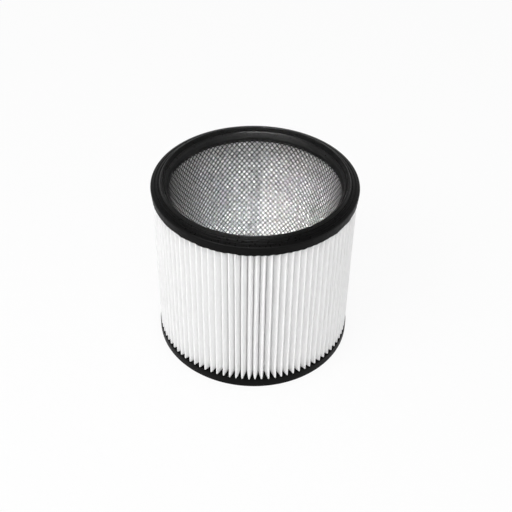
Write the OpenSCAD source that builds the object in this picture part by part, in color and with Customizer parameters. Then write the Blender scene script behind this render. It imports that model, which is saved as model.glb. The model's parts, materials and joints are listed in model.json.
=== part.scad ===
// Pleated cartridge filter for a workshop wet/dry vacuum.
// Z is the axis of the cartridge, and z = 0 is the floor that it stands on.

/* [Cartridge] */
// Height from the floor to the top of the sealing bead
overall_h = 182; // [140:1:260]
// Clear bore through both rings
bore_d = 162.4; // [100:0.2:240]

/* [Pleated media] */
// Depth of the folds, from the inner creases to the outer ones
fold_depth = 13.4; // [12:0.1:26]
// Number of folds
pleat_count = 94; // [60:1:110]
// Thickness of the paper
paper_t = 0.7; // [0.4:0.05:0.9]
// Width of a pressed fold, at the middle of the paper
fold_w = 1.1; // [0.95:0.05:1.6]

/* [Inner cage] */
// How far behind the bore the cage stands
cage_cover = 0.8; // [0.4:0.05:1]
// Thickness of the expanded metal
cage_t = 0.8; // [0.5:0.05:1.2]
// Gap between the cage and the inner folds
fold_gap = 0.2; // [0.1:0.05:0.6]
// Diamond openings in one turn of the cage
cage_columns = 16; // [10:1:17]
// Rows of diamond openings
cage_rows = 7; // [3:1:7]
// Width of the metal between two openings
strand_w = 3; // [1.6:0.1:5]

/* [Top seal ring] */
// Vinyl outside the folds at the lower edge of the skirt
top_skin = 0.8; // [0.4:0.1:3]
// How much farther out the rim stands than the lower edge of the skirt
skirt_draft = 0.8; // [0:0.1:3]
// Height of the skirt, from its lower edge to the rim
skirt_h = 10; // [8:0.5:18]
// Radius of the rounded edge of the rim
rim_round = 1.6; // [0.6:0.1:2.4]
// Depth of the folds in the skirt
top_pot_h = 5; // [3:0.1:6]
// Width of the outer band of the top face
outer_band_w = 4.3; // [3:0.1:5]
// Width of the middle band of the top face
mid_band_w = 3.4; // [2:0.1:4]
// Rise of each band towards the bead
band_rise = 1; // [0.4:0.1:1.4]
// How far the sealing bead stands above the rim
bead_rise = 4.6; // [4:0.1:7]
// Radius of the rounded top of the bead
bead_round = 1.2; // [0.8:0.05:1.5]
// Width of the outer flank of the bead
bead_flank_w = 1.4; // [0.6:0.1:2]
// Width of the inner flank of the bead
inner_flank_w = 1; // [0.4:0.1:1.4]
// Width of the shelf between the bead and the throat
shelf_w = 0.9; // [0.5:0.1:1.4]
// Width of each fine groove between the bands
groove_w = 0.8; // [0.4:0.1:1.2]
// How far the inner lip reaches down past the rim
lip_drop = 7; // [6:0.1:9]
// Height of the straight part of the inner lip
lip_land_h = 2.2; // [1.4:0.1:3]

/* [Bottom ring] */
// Vinyl outside the folds
base_skin = 0.6; // [0.4:0.1:3]
// Height of the bottom ring
base_ring_h = 9.8; // [6:0.2:18]
// Vinyl under the folds and the cage
base_floor = 3; // [1.5:0.1:4]
// Radius of the edges of the bottom ring
base_round = 1.2; // [0.4:0.1:2]

/* [Hidden] */
$fn = 96;
full_turn = 360;
half_turn = 180;
square_corner = 90;
arc_turn = 30;
groove_turn = 60;
bore_r = bore_d / 2;

// The cage stands behind the bore, and the inner folds stand behind the cage
cage_in_r = bore_r + cage_cover;
cage_out_r = cage_in_r + cage_t;
inner_fold_r = cage_out_r + fold_gap;
media_r = inner_fold_r + fold_depth;
pleat_step = full_turn / pleat_count;
fold_out_half = (fold_w + paper_t) / 2;
fold_in_half = (fold_w - paper_t) / 2;

// Heights
rim_z = overall_h - bead_rise;
skirt_z = rim_z - skirt_h;
lip_z = rim_z - lip_drop;
land_z = lip_z + lip_land_h;
bead_z = overall_h - bead_round;
media_top_z = skirt_z + top_pot_h;

// Radii of the top face, from the rim inwards
skirt_r = media_r + top_skin;
rim_r = skirt_r + skirt_draft;
step_r = rim_r - outer_band_w;
bead_foot_r = step_r - mid_band_w;
bead_r = bead_foot_r - bead_flank_w - bead_round;
bead_in_r = bead_r - bead_round - inner_flank_w;
throat_r = bead_in_r - shelf_w;
base_r = media_r + base_skin;

// Diamond openings, spread over the bare height of the cage
open_bottom_z = base_ring_h + strand_w;
open_h = lip_z - strand_w - open_bottom_z;
row_step = open_h / (cage_rows + 1);
column_step = full_turn / cage_columns;
cell_w = 2 * cage_in_r * sin(column_step / 2);
cell_slant = sqrt(pow(cell_w / 2, 2) + pow(row_step, 2));
diamond_half_w = cell_w / 2 - strand_w * cell_slant / row_step / 2;
diamond_half_h = row_step - strand_w * cell_slant / cell_w;
cut_reach = cage_t + fold_gap;

// A point at radius r and a sideways offset, turned to an angle
function turned(r, side, angle) = [
    r * cos(angle) - side * sin(angle),
    r * sin(angle) + side * cos(angle)
];

// One closed face of the folded paper, with flat folds out and in
function skin(out_r, out_half, in_r, in_half) = [
    for (i = [0 : pleat_count - 1], corner = [0 : 3])
        let (
            outward = corner < 2,
            side = corner % 2 == 0 ? -1 : 1,
            angle = (outward ? i : i + 1 / 2) * pleat_step
        )
        outward ? turned(out_r, side * out_half, angle) : turned(in_r, side * in_half, angle)
];

module media_outline() {
    outer_face = skin(media_r, fold_out_half, inner_fold_r + paper_t, fold_in_half);
    inner_face = skin(media_r - paper_t, fold_in_half, inner_fold_r, fold_out_half);
    difference() {
        polygon(outer_face);
        polygon(inner_face);
    }
}

module media_body() {
    translate([0, 0, base_floor]) linear_extrude(media_top_z - base_floor) media_outline();
}

module cage_wall() {
    rotate_extrude() translate([cage_in_r, base_floor]) square([cage_t, land_z - base_floor]);
}

module diamond_cut(row, column) {
    shift = row % 2 == 0 ? 0 : column_step / 2;
    rotate([0, 0, column * column_step + shift])
        translate([cage_in_r - cut_reach, 0, open_bottom_z + (row + 1) * row_step])
            rotate([square_corner, 0, square_corner])
                linear_extrude(cage_t + 2 * cut_reach)
                    polygon([[-diamond_half_w, 0], [0, -diamond_half_h],
                             [diamond_half_w, 0], [0, diamond_half_h]]);
}

// Points along an arc, from one angle to another
function arc(centre, radius, from, to, turn = arc_turn) =
    let (count = ceil(abs(to - from) / turn))
    [
        for (i = [0 : count])
            let (angle = from + (to - from) * i / count)
            centre + radius * [cos(angle), sin(angle)]
    ];

// Direction from one point to another, from 0 up to a full turn
function heading(from, to) =
    let (angle = atan2(to.y - from.y, to.x - from.x))
    angle < 0 ? angle + full_turn : angle;

// A fine round groove cut into the solid side of a corner
function groove(before, corner, after) =
    let (start = heading(corner, before), end = heading(corner, after))
    arc(corner, groove_w / 2, start, end < start ? end + full_turn : end, groove_turn);

// Half section of the top ring: throat, shelf, bead, two bands, rim and skirt
module top_ring_section() {
    throat = [throat_r, rim_z + band_rise / 2];
    shelf = [bead_in_r, rim_z + band_rise];
    bead = [bead_r, bead_z];
    foot = [bead_foot_r, rim_z + 2 * band_rise];
    step = [step_r, rim_z + band_rise];
    rim = [rim_r - rim_round, rim_z];
    polygon(concat(
        [[bore_r, lip_z], [bore_r, land_z], throat],
        groove(throat, shelf, bead - [bead_round, 0]),
        arc(bead, bead_round, half_turn, 0),
        groove(bead + [bead_round, 0], foot, step),
        groove(foot, step, rim),
        arc(rim - [0, rim_round], rim_round, square_corner, 0),
        [[skirt_r, skirt_z], [cage_out_r, skirt_z], [cage_out_r, lip_z]]
    ));
}

// Half section of the bottom ring, with three rounded edges
module bottom_ring_section() {
    low_z = base_round;
    high_z = base_ring_h - base_round;
    out_r = base_r - base_round;
    polygon(concat(
        [[bore_r, base_ring_h]],
        arc([out_r, high_z], base_round, square_corner, 0),
        arc([out_r, low_z], base_round, 0, -square_corner),
        arc([bore_r + base_round, low_z], base_round, -square_corner, -half_turn)
    ));
}

module top_seal_ring() {
    color([0.10, 0.10, 0.11])
    difference() {
        rotate_extrude() top_ring_section();
        media_body();
        cage_wall();
    }
}

module bottom_ring() {
    color([0.08, 0.08, 0.09])
    difference() {
        rotate_extrude() bottom_ring_section();
        media_body();
        cage_wall();
    }
}

module pleated_media() {
    color([0.94, 0.94, 0.93]) media_body();
}

module inner_cage() {
    color([0.55, 0.56, 0.57])
    difference() {
        cage_wall();
        for (row = [0 : cage_rows - 1], column = [0 : cage_columns - 1])
            diamond_cut(row, column);
    }
}

top_seal_ring();
bottom_ring();
pleated_media();
inner_cage();
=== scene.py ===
import json
import math

import bpy
import numpy as np
from mathutils import Matrix, Vector


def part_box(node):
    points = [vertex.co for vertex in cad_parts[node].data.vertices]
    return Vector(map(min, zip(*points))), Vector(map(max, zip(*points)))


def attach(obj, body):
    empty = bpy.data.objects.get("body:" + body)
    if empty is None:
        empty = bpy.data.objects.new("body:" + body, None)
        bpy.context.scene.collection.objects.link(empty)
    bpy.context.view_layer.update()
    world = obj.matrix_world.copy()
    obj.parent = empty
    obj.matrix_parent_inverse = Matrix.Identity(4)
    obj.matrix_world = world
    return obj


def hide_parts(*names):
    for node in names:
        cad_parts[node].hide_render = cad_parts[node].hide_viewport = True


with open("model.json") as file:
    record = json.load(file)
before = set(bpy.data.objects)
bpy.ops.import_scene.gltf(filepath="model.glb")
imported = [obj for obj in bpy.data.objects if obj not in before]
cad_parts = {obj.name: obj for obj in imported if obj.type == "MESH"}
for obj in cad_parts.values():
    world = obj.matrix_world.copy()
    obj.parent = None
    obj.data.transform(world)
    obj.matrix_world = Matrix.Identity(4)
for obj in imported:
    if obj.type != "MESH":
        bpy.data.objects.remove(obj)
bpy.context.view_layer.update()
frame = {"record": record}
MM = 0.001

# Sizes that the frame gives, in millimetres
ring_low, ring_high = (np.array(corner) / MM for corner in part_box("top_seal_ring"))
base_low, base_high = (np.array(corner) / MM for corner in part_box("bottom_ring"))
media_low, media_high = (np.array(corner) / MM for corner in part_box("pleated_media"))
cage_low, cage_high = (np.array(corner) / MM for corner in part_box("inner_cage"))
mounts = {mount["name"]: mount for mount in frame["record"]["mounts"]}
BORE_R = mounts["top_bore"]["dims"]["r_mm"]
RIM_R = ring_high[0]
BASE_R = base_high[0]
BASE_Z = base_high[2]
SKIRT_Z = ring_low[2]
BEAD_Z = ring_high[2]
MEDIA_R = media_high[0]
CAGE_OUT_R = cage_high[0]

# Folded paper
PLEATS = 94
PAPER = 0.62
INNER_FOLD_R = CAGE_OUT_R + 0.2
OUTER_CREASE = 0.74
INNER_CREASE = 0.58
CREASE_STEPS = 4
FLANK_STEPS = 4
PAPER_ROWS = 22
FOLD_WANDER = 0.30
FLANK_BULGE = 0.24
CREST_DROP = 0.12

# Expanded metal
CELL_W = 5.13
CELL_H = 6.7
STRAND_W = 0.92
STRAND_T = 0.34
STRAND_LIFT = 0.20
BOND_LENGTH = 1.15

# Stepped face of the top ring, from the rim inwards, as in the solid
BEAD_RISE = 4.6
SKIRT_DRAFT = 0.8
RIM_ROUND = 1.6
OUTER_BAND = 4.3
MID_BAND = 3.4
BAND_RISE = 1.0
BEAD_ROUND = 1.2
BEAD_FLANK = 1.4
INNER_FLANK = 1.0
SHELF = 0.9
LIP_DROP = 7.0
LIP_LAND = 2.2
GROOVE = 1.7
RING_SEGMENTS = PLEATS * 8
TOP_FACE_SLOPE = 0.12

rng = np.random.default_rng(7)
TURN = 2 * math.pi


def closed_grid(name, points):
    """A mesh from points[row, column, xyz] in millimetres, closed both ways."""
    rows, columns = points.shape[:2]
    index = np.arange(rows * columns).reshape(rows, columns)
    right = np.roll(index, -1, axis=1)
    up = np.roll(index, -1, axis=0)
    diagonal = np.roll(up, -1, axis=1)
    faces = np.stack([index, right, diagonal, up], axis=-1).reshape(-1, 4)
    return mesh_object(name, points.reshape(-1, 3), faces)


def mesh_object(name, points, faces):
    """An object from points in millimetres and four-sided faces."""
    mesh = bpy.data.meshes.new(name)
    mesh.vertices.add(len(points))
    mesh.vertices.foreach_set("co", (np.asarray(points) * MM).ravel())
    mesh.loops.add(faces.size)
    mesh.loops.foreach_set("vertex_index", faces.ravel())
    mesh.polygons.add(len(faces))
    mesh.polygons.foreach_set("loop_start", np.arange(len(faces)) * 4)
    mesh.update(calc_edges=True)
    mesh.validate()
    piece = bpy.data.objects.new(name, mesh)
    bpy.context.scene.collection.objects.link(piece)
    return piece


def shade(piece, smooth_angle):
    """Smooth shading with sharp edges above an angle in degrees."""
    piece.data.polygons.foreach_set("use_smooth", [True] * len(piece.data.polygons))
    piece.data.set_sharp_from_angle(angle=math.radians(smooth_angle))


def polar(radius, angle, height):
    """Points in millimetres from polar coordinates, with all three broadcast together."""
    radius, angle, height = np.broadcast_arrays(radius, angle, height)
    return np.stack([radius * np.cos(angle), radius * np.sin(angle), height], axis=-1)


def waves(count, rows, harmonics=3):
    """Slow seeded noise of unit size: one column per item, along the height."""
    along = np.linspace(0, 1, rows)[:, None]
    total = np.zeros((rows, count))
    for harmonic in range(harmonics):
        size = rng.normal(0, 1, count) / (harmonic + 1)
        phase = rng.uniform(0, TURN, count)
        total += size * np.sin(TURN * along * (0.35 + 0.6 * harmonic) + phase)
    return total / 1.4


def arc(centre, radius, start, end, steps):
    """Points along an arc in the half section, with angles in degrees."""
    angles = np.radians(np.linspace(start, end, steps + 1))
    return [(centre[0] + radius * math.cos(a), centre[1] + radius * math.sin(a)) for a in angles]


def heading(start, end):
    return math.degrees(math.atan2(end[1] - start[1], end[0] - start[0])) % 360


def groove(before, corner, after):
    """A fine round groove on the solid side of a corner."""
    start, end = heading(corner, before), heading(corner, after)
    return arc(corner, GROOVE / 2, start, end + 360 if end < start else end, 8)


def straight(start, end, steps):
    """Points from start up to but not including end."""
    return [tuple(np.add(start, np.subtract(end, start) * i / steps)) for i in range(steps)]


def pleat_centres():
    """Angles of the outer and inner creases of every fold, row by row up the paper."""
    even = np.arange(PLEATS) * TURN / PLEATS
    outer = even + rng.normal(0, 0.22, PLEATS) / MEDIA_R + waves(PLEATS, PAPER_ROWS) * FOLD_WANDER / MEDIA_R
    halfway = even + TURN / PLEATS / 2
    inner = halfway + rng.normal(0, 0.10, PLEATS) / INNER_FOLD_R
    inner = inner + waves(PLEATS, PAPER_ROWS) * 0.08 / INNER_FOLD_R
    return outer, inner


def crease(radius, angle, half, inward):
    """A rounded crease, half its width given in millimetres; its ends drop towards the flanks."""
    turns = np.radians(np.linspace(-90, 90, CREASE_STEPS + 1))
    return [(radius - inward * half * (1 - math.cos(turn)), angle + math.sin(turn) * half / radius)
            for turn in turns]


def flank(start, end, swell):
    """Points between the two ends of a flank, bellied sideways by so many millimetres."""
    line = []
    for share in np.arange(1, FLANK_STEPS) / FLANK_STEPS:
        radius = start[0] + (end[0] - start[0]) * share
        angle = start[1] + (end[1] - start[1]) * share
        line.append((radius, angle + swell * math.sin(math.pi * share) / radius))
    return line


def build_paper():
    """The folded paper: both faces of one closed band, with rounded creases."""
    outer, inner = pleat_centres()
    next_outer = np.roll(outer, -1, axis=1)
    next_outer[:, -1] += TURN
    reach = MEDIA_R - PAPER / 2 - np.abs(waves(PLEATS, PAPER_ROWS)) * CREST_DROP
    next_reach = np.roll(reach, -1, axis=1)
    outer_half = OUTER_CREASE - PAPER / 2
    crest = crease(reach, outer, outer_half, 1)
    valley = crease(INNER_FOLD_R + PAPER / 2, inner, INNER_CREASE - PAPER / 2, -1)
    next_crest = crease(next_reach, next_outer, outer_half, 1)
    bellied = FLANK_BULGE * (1 + 0.5 * waves(2 * PLEATS, PAPER_ROWS))
    inwards = flank(crest[-1], valley[0], bellied[:, :PLEATS])
    outwards = flank(valley[-1], next_crest[0], -bellied[:, PLEATS:])
    line = crest + inwards + valley + outwards
    shape = (PAPER_ROWS, PLEATS, len(line))
    radius = np.stack([np.broadcast_to(point[0], shape[:2]) for point in line], axis=-1)
    angle = np.stack([np.broadcast_to(point[1], shape[:2]) for point in line], axis=-1)
    heights = np.linspace(media_low[2], media_high[2], PAPER_ROWS)
    centre = polar(radius.reshape(PAPER_ROWS, -1), angle.reshape(PAPER_ROWS, -1), heights[:, None])
    ahead = np.roll(centre, -1, axis=1) - np.roll(centre, 1, axis=1)
    normal = np.stack([ahead[..., 1], -ahead[..., 0], np.zeros(ahead.shape[:2])], axis=-1)
    normal /= np.linalg.norm(normal, axis=-1, keepdims=True)
    outer_face = centre + normal * PAPER / 2
    inner_face = centre - normal * PAPER / 2
    paper = closed_grid("pleated_paper", np.concatenate([outer_face, inner_face[::-1]]))
    shade(paper, 50)
    return paper


def prism(outer, inner, sides):
    """Faces of a flat four-sided block, its outer loop anticlockwise from outside; only some sides are drawn."""
    faces = [outer, inner[..., ::-1]]
    for side in sides:
        ahead = (side + 1) % 4
        faces.append(np.stack([outer[..., ahead], outer[..., side], inner[..., side], inner[..., ahead]], axis=-1))
    return [face.reshape(-1, 4) for face in faces]


def build_cage():
    """One sheet of expanded metal rolled into a cylinder: a bond at each crossing, and strands between bonds."""
    middle_r = CAGE_OUT_R - STRAND_T / 2 - STRAND_LIFT
    columns = round(TURN * middle_r / CELL_W)
    low_z, high_z = cage_low[2] + 1, cage_high[2] - 1
    rows = round((high_z - low_z) / (CELL_H / 2))
    row_step = (high_z - low_z) / rows
    half_w = TURN * middle_r / columns / 2
    slant = math.hypot(half_w, row_step)
    reach_up = STRAND_W / 2 * slant / half_w * BOND_LENGTH
    reach_side = STRAND_W / 2 * slant / row_step / middle_r
    row = np.arange(rows + 1)[:, None]
    column = np.arange(columns)[None, :]
    angle = (column + (row % 2) / 2) * TURN / columns
    height = low_z + row * row_step + 0 * column
    layers = []
    for face in (STRAND_T / 2, -STRAND_T / 2):
        radius = middle_r + face
        layers.append(np.stack([
            polar(radius, angle + reach_side, height),
            polar(radius + STRAND_LIFT, angle, height + reach_up),
            polar(radius, angle - reach_side, height),
            polar(radius - STRAND_LIFT, angle, height - reach_up),
        ], axis=2))
    points = np.stack(layers, axis=2)
    index = np.arange(points[..., 0].size).reshape(points.shape[:4])
    outer, inner = index[:, :, 0], index[:, :, 1]
    right, up, left, down = range(4)
    faces = prism(outer[1:-1], inner[1:-1], ())
    faces += prism(outer[0], inner[0], (left, down))
    faces += prism(outer[-1], inner[-1], (right, up))
    odd = np.arange(rows)[:, None] % 2
    for leaning, lower, upper, sides in ((0, (right, up), (down, left), (0, 2)), (-1, (left, up), (down, right), (1, 3))):
        target = ((column + odd + leaning) % columns)[..., None]
        loops = []
        for layer in (outer, inner):
            above = np.take_along_axis(layer[1:], target, axis=1)
            if leaning == 0:
                loop = (layer[:-1, :, lower[0]], above[..., upper[0]], above[..., upper[1]], layer[:-1, :, lower[1]])
            else:
                loop = (layer[:-1, :, lower[0]], layer[:-1, :, lower[1]], above[..., upper[1]], above[..., upper[0]])
            loops.append(np.stack(loop, axis=-1))
        faces += prism(loops[0], loops[1], sides)
    return mesh_object("expanded_cage", points.reshape(-1, 3), np.concatenate(faces))


def top_section():
    """Half section of the top ring, from the bore round the stepped face to the skirt."""
    rim_z = BEAD_Z - BEAD_RISE
    lip_z = rim_z - LIP_DROP
    rim = (RIM_R - RIM_ROUND, rim_z)
    step = (RIM_R - OUTER_BAND, rim_z + BAND_RISE)
    foot = (step[0] - MID_BAND, rim_z + 2 * BAND_RISE)
    bead = (foot[0] - BEAD_FLANK - BEAD_ROUND, BEAD_Z - BEAD_ROUND)
    shelf = (bead[0] - BEAD_ROUND - INNER_FLANK, rim_z + BAND_RISE)
    throat = (shelf[0] - SHELF, rim_z + BAND_RISE / 2)
    skirt = (RIM_R - SKIRT_DRAFT, SKIRT_Z)
    bead_in = (bead[0] - BEAD_ROUND, bead[1])
    bead_out = (bead[0] + BEAD_ROUND, bead[1])
    lip_round = 0.5
    line = arc((BORE_R + lip_round, lip_z + lip_round), lip_round, 270, 180, 3)
    line += straight((BORE_R, lip_z + LIP_LAND), throat, 4) + straight(throat, shelf, 2)[:1]
    line += groove(throat, shelf, bead_in)
    line += arc(bead, BEAD_ROUND, 180, 0, 10)
    line += groove(bead_out, foot, step)
    line += groove(foot, step, rim)
    line += arc((rim[0], rim[1] - RIM_ROUND), RIM_ROUND, 90, 0, 7)
    edge_top = (skirt[0] + 0.1, skirt[1] + 1.6)
    line += straight((RIM_R - 0.05, rim_z - RIM_ROUND - 0.6), edge_top, 3)
    line += straight(edge_top, skirt, 3) + [skirt]
    line += straight((skirt[0] - 0.5, SKIRT_Z - 0.1), (CAGE_OUT_R, SKIRT_Z), 4)
    line += [(CAGE_OUT_R, SKIRT_Z), (CAGE_OUT_R, lip_z)]
    return np.array(line)[::-1]


def build_top_ring():
    """The cast seal ring. Its skirt follows the outer folds, which lie just under its skin."""
    line = top_section()
    angle = np.arange(RING_SEGMENTS) * TURN / RING_SEGMENTS
    radius = np.repeat(line[:, :1], RING_SEGMENTS, axis=1)
    height = np.repeat(line[:, 1:], RING_SEGMENTS, axis=1)
    near_edge = np.clip(1 - (line[:, 1] - SKIRT_Z) / 2.4, 0, 1)[:, None]
    outside = (line[:, 0] > MEDIA_R - 1)[:, None]
    fold = np.cos(PLEATS * angle)
    uneven = smooth_noise(RING_SEGMENTS, 60)
    radius = radius + outside * near_edge * (0.16 * fold - 0.1)
    height = height + outside * near_edge * (0.40 * fold + 0.22 * uneven)
    ring = closed_grid("seal_ring_cast", polar(radius, angle[None, :], height))
    shade(ring, 60)
    bands_z = (BEAD_Z - BEAD_RISE - RIM_ROUND) * MM
    top_face = [int(face.normal.z > TOP_FACE_SLOPE and face.center.z > bands_z) for face in ring.data.polygons]
    ring.data.polygons.foreach_set("material_index", top_face)
    return ring


def smooth_noise(count, lumps):
    """Seeded noise of unit size round a circle, with a given number of lumps."""
    angle = np.arange(count) * TURN / count
    total = np.zeros(count)
    for _ in range(12):
        total += rng.normal() * np.sin(rng.integers(lumps // 4, lumps) * angle + rng.uniform(0, TURN))
    return total / 3


def build_bottom_ring():
    """The cast lower ring, with the surface of the casting a little uneven round the folds."""
    out_round = 1.2
    line = arc((BORE_R + out_round, base_low[2] + out_round), out_round, 270, 180, 5)
    line += straight((BORE_R, BASE_Z - 1.6), (BORE_R, BASE_Z - 0.4), 2)
    line += arc((BORE_R + 0.4, BASE_Z - 0.4), 0.4, 180, 90, 2)
    line += straight((BORE_R + 1.4, BASE_Z), (BASE_R - 1.2, BASE_Z), 12)
    line += arc((BASE_R - 1.0, BASE_Z - 1.0), 1.0, 90, 0, 5)
    line += arc((BASE_R - out_round, base_low[2] + out_round), out_round, 0, -90, 6)
    line = np.array(line)[::-1]
    angle = np.arange(RING_SEGMENTS) * TURN / RING_SEGMENTS
    radius = np.repeat(line[:, :1], RING_SEGMENTS, axis=1)
    height = np.repeat(line[:, 1:], RING_SEGMENTS, axis=1)
    on_top = (line[:, 1] > BASE_Z - 0.05)[:, None]
    ripple = rng.normal(0, 0.10, height.shape) + 0.12 * smooth_noise(RING_SEGMENTS, 80)[None, :]
    height = height + on_top * np.minimum(ripple - 0.08, 0.0)
    ring = closed_grid("bottom_ring_cast", polar(radius, angle[None, :], height))
    shade(ring, 60)
    return ring


def node_material(name):
    material = bpy.data.materials.new(name)
    material.use_nodes = True
    nodes = material.node_tree.nodes
    nodes.clear()
    output = nodes.new("ShaderNodeOutputMaterial")
    shader = nodes.new("ShaderNodeBsdfPrincipled")
    material.node_tree.links.new(shader.outputs["BSDF"], output.inputs["Surface"])
    return material, nodes, material.node_tree.links, shader


def noise(nodes, links, scale, detail=4.0, stretch=(1, 1, 1)):
    """Object-space noise of a given scale per metre."""
    coordinates = nodes.new("ShaderNodeTexCoord")
    mapping = nodes.new("ShaderNodeMapping")
    mapping.inputs["Scale"].default_value = stretch
    texture = nodes.new("ShaderNodeTexNoise")
    texture.inputs["Scale"].default_value = scale
    texture.inputs["Detail"].default_value = detail
    links.new(coordinates.outputs["Object"], mapping.inputs["Vector"])
    links.new(mapping.outputs["Vector"], texture.inputs["Vector"])
    return texture.outputs["Fac"]


def ramp(nodes, links, value, low, high, start=0.35, end=0.65):
    """A value spread between two colours or two greys."""
    node = nodes.new("ShaderNodeValToRGB")
    node.color_ramp.elements[0].position = start
    node.color_ramp.elements[1].position = end
    node.color_ramp.elements[0].color = tuple(low) + (1,)
    node.color_ramp.elements[1].color = tuple(high) + (1,)
    links.new(value, node.inputs["Fac"])
    return node.outputs["Color"]


def bump(nodes, links, shader, value, strength, depth):
    node = nodes.new("ShaderNodeBump")
    node.inputs["Strength"].default_value = strength
    node.inputs["Distance"].default_value = depth
    links.new(value, node.inputs["Height"])
    links.new(node.outputs["Normal"], shader.inputs["Normal"])


def vinyl(name, dark, light, gloss, shine):
    """Soft black cast vinyl: nearly matte, with faint mottling and a fine skin."""
    material, nodes, links, shader = node_material(name)
    mottling = noise(nodes, links, 90, 5)
    links.new(ramp(nodes, links, mottling, (dark,) * 3, (light,) * 3), shader.inputs["Base Color"])
    skin = noise(nodes, links, 400, 3)
    links.new(ramp(nodes, links, skin, (gloss,) * 3, (gloss + 0.16,) * 3), shader.inputs["Roughness"])
    shader.inputs["Specular IOR Level"].default_value = shine
    bump(nodes, links, shader, noise(nodes, links, 900, 4), 0.25, 0.0002)
    return material


def paper_material():
    """White filter paper: matte, with faint fibres along the folds."""
    material, nodes, links, shader = node_material("white_paper")
    fibres = noise(nodes, links, 700, 6, (1, 1, 0.25))
    links.new(ramp(nodes, links, fibres, (0.90, 0.90, 0.90), (0.94, 0.94, 0.94)), shader.inputs["Base Color"])
    shader.inputs["Roughness"].default_value = 0.92
    shader.inputs["Subsurface Weight"].default_value = 1.0
    shader.inputs["Subsurface Radius"].default_value = (1.0, 1.0, 1.0)
    shader.inputs["Subsurface Scale"].default_value = 0.0012
    shader.inputs["Specular IOR Level"].default_value = 0.2
    bump(nodes, links, shader, noise(nodes, links, 1600, 5, (1, 1, 0.4)), 0.3, 0.0002)
    return material


def metal_material():
    """Dull zinc-coated steel."""
    material, nodes, links, shader = node_material("galvanised_steel")
    spangle = noise(nodes, links, 500, 4)
    links.new(ramp(nodes, links, spangle, (0.022,) * 3, (0.04,) * 3), shader.inputs["Base Color"])
    links.new(ramp(nodes, links, noise(nodes, links, 900, 3), (0.42,) * 3, (0.6,) * 3), shader.inputs["Roughness"])
    shader.inputs["Metallic"].default_value = 0.6
    bump(nodes, links, shader, noise(nodes, links, 1500, 3), 0.2, 0.0001)
    return material


def add_piece(piece, materials, node):
    for material in materials:
        piece.data.materials.append(material)
    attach(piece, "root")
    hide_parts(node)


def seen_share(nodes, links, path, share):
    """A share of white for rays from the camera, from gloss and through glass, and none for light."""
    total = path.outputs["Is Camera Ray"]
    for ray in ("Is Glossy Ray", "Is Transmission Ray"):
        either = nodes.new("ShaderNodeMath")
        either.operation = "MAXIMUM"
        links.new(total, either.inputs[0])
        links.new(path.outputs[ray], either.inputs[1])
        total = either.outputs[0]
    part = nodes.new("ShaderNodeMath")
    part.operation = "MULTIPLY"
    part.inputs[1].default_value = share
    links.new(total, part.inputs[0])
    return part.outputs[0]


def add_floor():
    """A pale floor that keeps the shadow and shows white to the camera."""
    bpy.ops.mesh.primitive_plane_add(size=8, location=(0, 0, 0))
    floor = bpy.context.object
    floor.name = "floor"
    material = bpy.data.materials.new("floor_white")
    material.use_nodes = True
    nodes, links = material.node_tree.nodes, material.node_tree.links
    nodes.clear()
    output = nodes.new("ShaderNodeOutputMaterial")
    diffuse = nodes.new("ShaderNodeBsdfDiffuse")
    diffuse.inputs["Color"].default_value = (0.80, 0.80, 0.80, 1)
    white = nodes.new("ShaderNodeEmission")
    white.inputs["Strength"].default_value = 1.0
    mix = nodes.new("ShaderNodeMixShader")
    path = nodes.new("ShaderNodeLightPath")
    links.new(seen_share(nodes, links, path, 0.90), mix.inputs["Fac"])
    links.new(diffuse.outputs[0], mix.inputs[1])
    links.new(white.outputs[0], mix.inputs[2])
    links.new(mix.outputs[0], output.inputs["Surface"])
    floor.data.materials.append(material)


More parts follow.
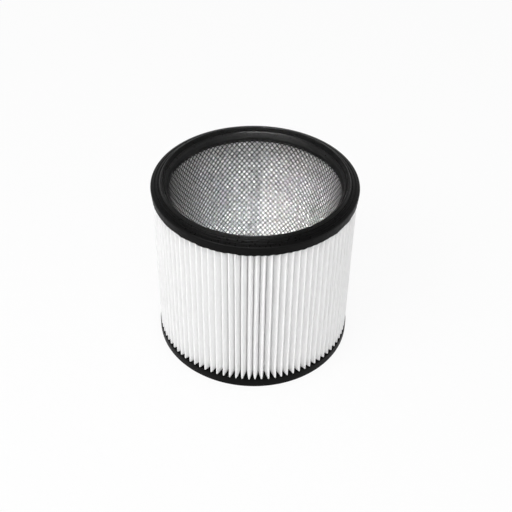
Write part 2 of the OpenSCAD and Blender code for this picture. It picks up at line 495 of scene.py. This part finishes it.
def add_world():
    """Even light from all around, seen as plain white, with a darker ceiling in gloss."""
    world = bpy.data.worlds.new("studio")
    world.use_nodes = True
    nodes, links = world.node_tree.nodes, world.node_tree.links
    nodes.clear()
    output = nodes.new("ShaderNodeOutputWorld")
    lights = {}
    for name, strength in (("even", 0.64), ("white", 1.0), ("horizon", 0.80), ("ceiling", 0.096)):
        lights[name] = nodes.new("ShaderNodeBackground")
        lights[name].inputs["Color"].default_value = (1, 1, 1, 1)
        lights[name].inputs["Strength"].default_value = strength
    path = nodes.new("ShaderNodeLightPath")
    direction = nodes.new("ShaderNodeTexCoord")
    split = nodes.new("ShaderNodeSeparateXYZ")
    height = nodes.new("ShaderNodeMapRange")
    height.inputs["From Min"].default_value = 0.45
    height.inputs["From Max"].default_value = 0.72
    gloss = nodes.new("ShaderNodeMixShader")
    links.new(direction.outputs["Generated"], split.inputs[0])
    links.new(split.outputs["Z"], height.inputs["Value"])
    links.new(height.outputs[0], gloss.inputs["Fac"])
    links.new(lights["horizon"].outputs[0], gloss.inputs[1])
    links.new(lights["ceiling"].outputs[0], gloss.inputs[2])
    last = lights["even"].outputs[0]
    for ray, light in (("Is Camera Ray", lights["white"]), ("Is Transmission Ray", lights["white"]), ("Is Glossy Ray", gloss)):
        choice = nodes.new("ShaderNodeMixShader")
        links.new(path.outputs[ray], choice.inputs["Fac"])
        links.new(last, choice.inputs[1])
        links.new(light.outputs[0], choice.inputs[2])
        last = choice.outputs[0]
    links.new(last, output.inputs["Surface"])
    bpy.context.scene.world = world


def add_lamp(name, place, aim, size, power, spread=180):
    """A round or square soft lamp; a spread below 180 degrees is a grid that narrows its beam."""
    data = bpy.data.lights.new(name, "AREA")
    data.shape = "DISK" if spread < 180 else "SQUARE"
    data.size = size
    data.energy = power
    data.spread = math.radians(spread)
    lamp = bpy.data.objects.new(name, data)
    lamp.location = place
    lamp.rotation_euler = (Vector(aim) - Vector(place)).to_track_quat("-Z", "Y").to_euler()
    lamp.visible_camera = False
    bpy.context.scene.collection.objects.link(lamp)


def add_camera():
    """A camera at the photograph's angle, for a square picture of 512 by 512."""
    place = Vector((0.0, -0.7003, 0.6751))
    aim = Vector((0.0019, 0.0, 0.0858))
    roll = 0.0175
    data = bpy.data.cameras.new("camera")
    data.sensor_width = 36
    data.lens = 915 / 512 * data.sensor_width
    camera = bpy.data.objects.new("camera", data)
    turn = (aim - place).to_track_quat("-Z", "Y").to_matrix() @ Matrix.Rotation(roll, 3, "Z")
    camera.matrix_world = Matrix.Translation(place) @ turn.to_4x4()
    bpy.context.scene.collection.objects.link(camera)
    bpy.context.scene.camera = camera


matte_vinyl = vinyl("matte_vinyl", 0.0030, 0.0045, 0.36, 0.05)
satin_vinyl = vinyl("satin_vinyl", 0.0030, 0.0045, 0.26, 0.12)
add_piece(build_paper(), [paper_material()], "pleated_media")
add_piece(build_cage(), [metal_material()], "inner_cage")
add_piece(build_top_ring(), [matte_vinyl, satin_vinyl], "top_seal_ring")
add_piece(build_bottom_ring(), [matte_vinyl], "bottom_ring")

add_floor()
add_world()
add_lamp("key", (-1.03, -0.86, 1.58), (0, 0, 0.1), 1.0, 14)
add_lamp("front", (0.05, -1.41, 1.51), (0, 0, 0.1), 1.0, 11)
add_lamp("bore", (-0.05, -0.16, 0.75), (0.004, 0.014, 0.12), 0.04, 1.7, 15)
add_camera()

bpy.context.scene.view_settings.view_transform = "Standard"
bpy.context.scene.cycles.diffuse_bounces = 12
